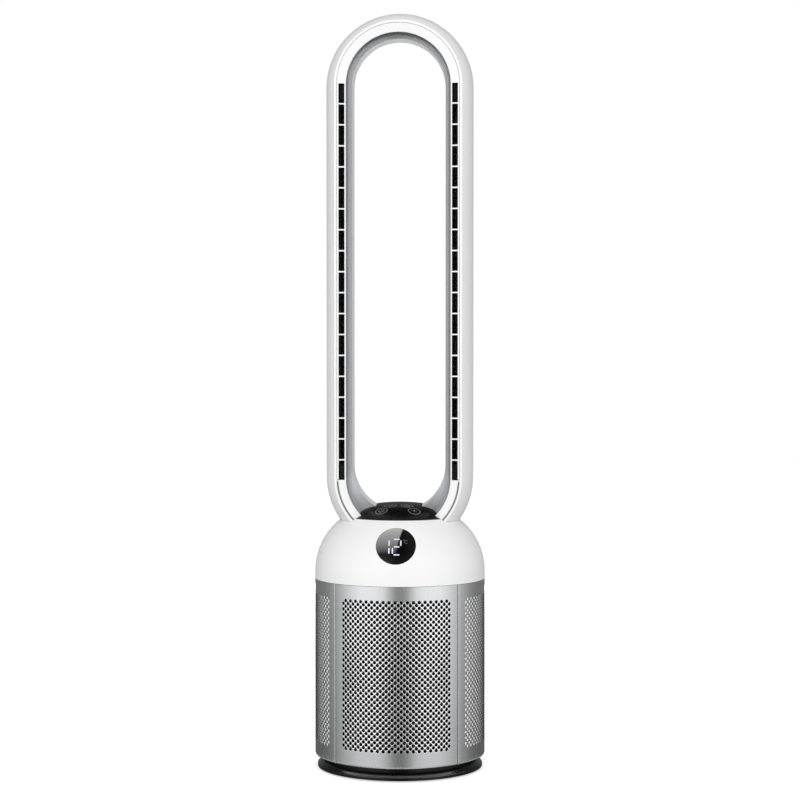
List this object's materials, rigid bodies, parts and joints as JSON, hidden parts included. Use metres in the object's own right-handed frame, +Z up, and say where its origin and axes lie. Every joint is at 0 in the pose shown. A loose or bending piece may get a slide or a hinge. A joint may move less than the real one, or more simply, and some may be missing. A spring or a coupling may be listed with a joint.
{
  "type": "bladeless tower fan heater",
  "caption": "Tall open loop on a round perforated barrel that blows heated air from slots down both legs and swivels on a flat foot.",
  "frame": {"origin": "centre of the foot on the floor", "axes": "+Z up along the tower, the display and slots face -Y, +X to the viewer's right"},
  "size_m": [0.21, 0.21, 0.9285],
  "materials": {
    "white_abs": "moulded white ABS, semi-gloss",
    "silver_paint": "satin silver paint on moulded plastic",
    "brushed_panel": "perforated stainless sheet, brushed upright",
    "black_gloss": "polished black touch surface",
    "black_matte": "fine-textured black moulding",
    "grey_moulding": "plain grey inner moulding",
    "soft_rubber": "matte",
    "plain_steel": "plain",
    "bearing_plastic": "natural acetal",
    "circuit_board": "solder resist",
    "board_parts": "moulded component cases",
    "heater_fin": "black-coated fins on ceramic bars",
    "filter_mesh": "black fine mesh"
  },
  "bodies": {
    "foot": {"foot_base": "black_matte", "foot_pad": "soft_rubber", "ballast_plate": "plain_steel", "ballast_screws": "plain_steel", "swivel_bearing": "bearing_plastic", "sun_gear": "bearing_plastic", "gear_screws": "plain_steel"},
    "tower": {"chassis_tray": "grey_moulding", "cord_gland": "soft_rubber", "swivel_motor": "plain_steel", "swivel_motor_screws": "plain_steel", "power_board": "circuit_board", "power_components": "board_parts", "front_panel": "brushed_panel", "left_panel": "brushed_panel", "right_panel": "brushed_panel", "panel_magnets": "plain_steel", "inlet_cage": "black_matte", "dust_filter": "filter_mesh", "fan_duct": "grey_moulding", "motor_pod": "grey_moulding", "fan_bearings": "plain_steel", "motor_stator": "plain_steel", "air_manifold": "grey_moulding", "loop_gasket": "soft_rubber", "dome_shell": "white_abs", "display_lens": "black_gloss", "display_board": "board_parts", "control_cap": "black_gloss", "touch_board": "circuit_board", "touch_springs": "plain_steel", "loop_front_shell": "white_abs", "loop_rear_shell": "white_abs", "outlet_grille": "white_abs", "inner_trim": "silver_paint", "heater_frame_left": "black_matte", "heater_frame_right": "black_matte", "heater_core_left": "heater_fin", "heater_core_right": "heater_fin", "thermal_cutouts": "plain_steel"},
    "rotor": {"impeller": "grey_moulding", "rotor_shaft": "plain_steel", "impeller_nut": "plain_steel"},
    "pinion": {"swivel_pinion": "bearing_plastic"},
    "rear_cover": {"rear_panel": "brushed_panel"}
  },
  "joints": [
    {"name": "swivel", "type": "hinge", "parent": "foot", "child": "tower", "pos_m": [0, 0, 0.0172], "axis": [0, 0, 1], "range_deg": [-40, 40]},
    {"name": "pinion_turn", "type": "hinge", "parent": "tower", "child": "pinion", "pos_m": [-0.032, 0, 0.0227], "axis": [0, 0, 1], "range_deg": [-120, 120]},
    {"name": "impeller_spin", "type": "hinge", "parent": "tower", "child": "rotor", "pos_m": [0, 0, 0.1507], "axis": [0, 0, 1], "continuous": true},
    {"name": "rear_cover_pull", "type": "slide", "parent": "tower", "child": "rear_cover", "axis": [0, 1, 0], "range_m": [0, 0.06]}
  ],
  "couplings": [
    {"joint": "pinion_turn", "follows": "swivel", "ratio": 3}
  ]
}
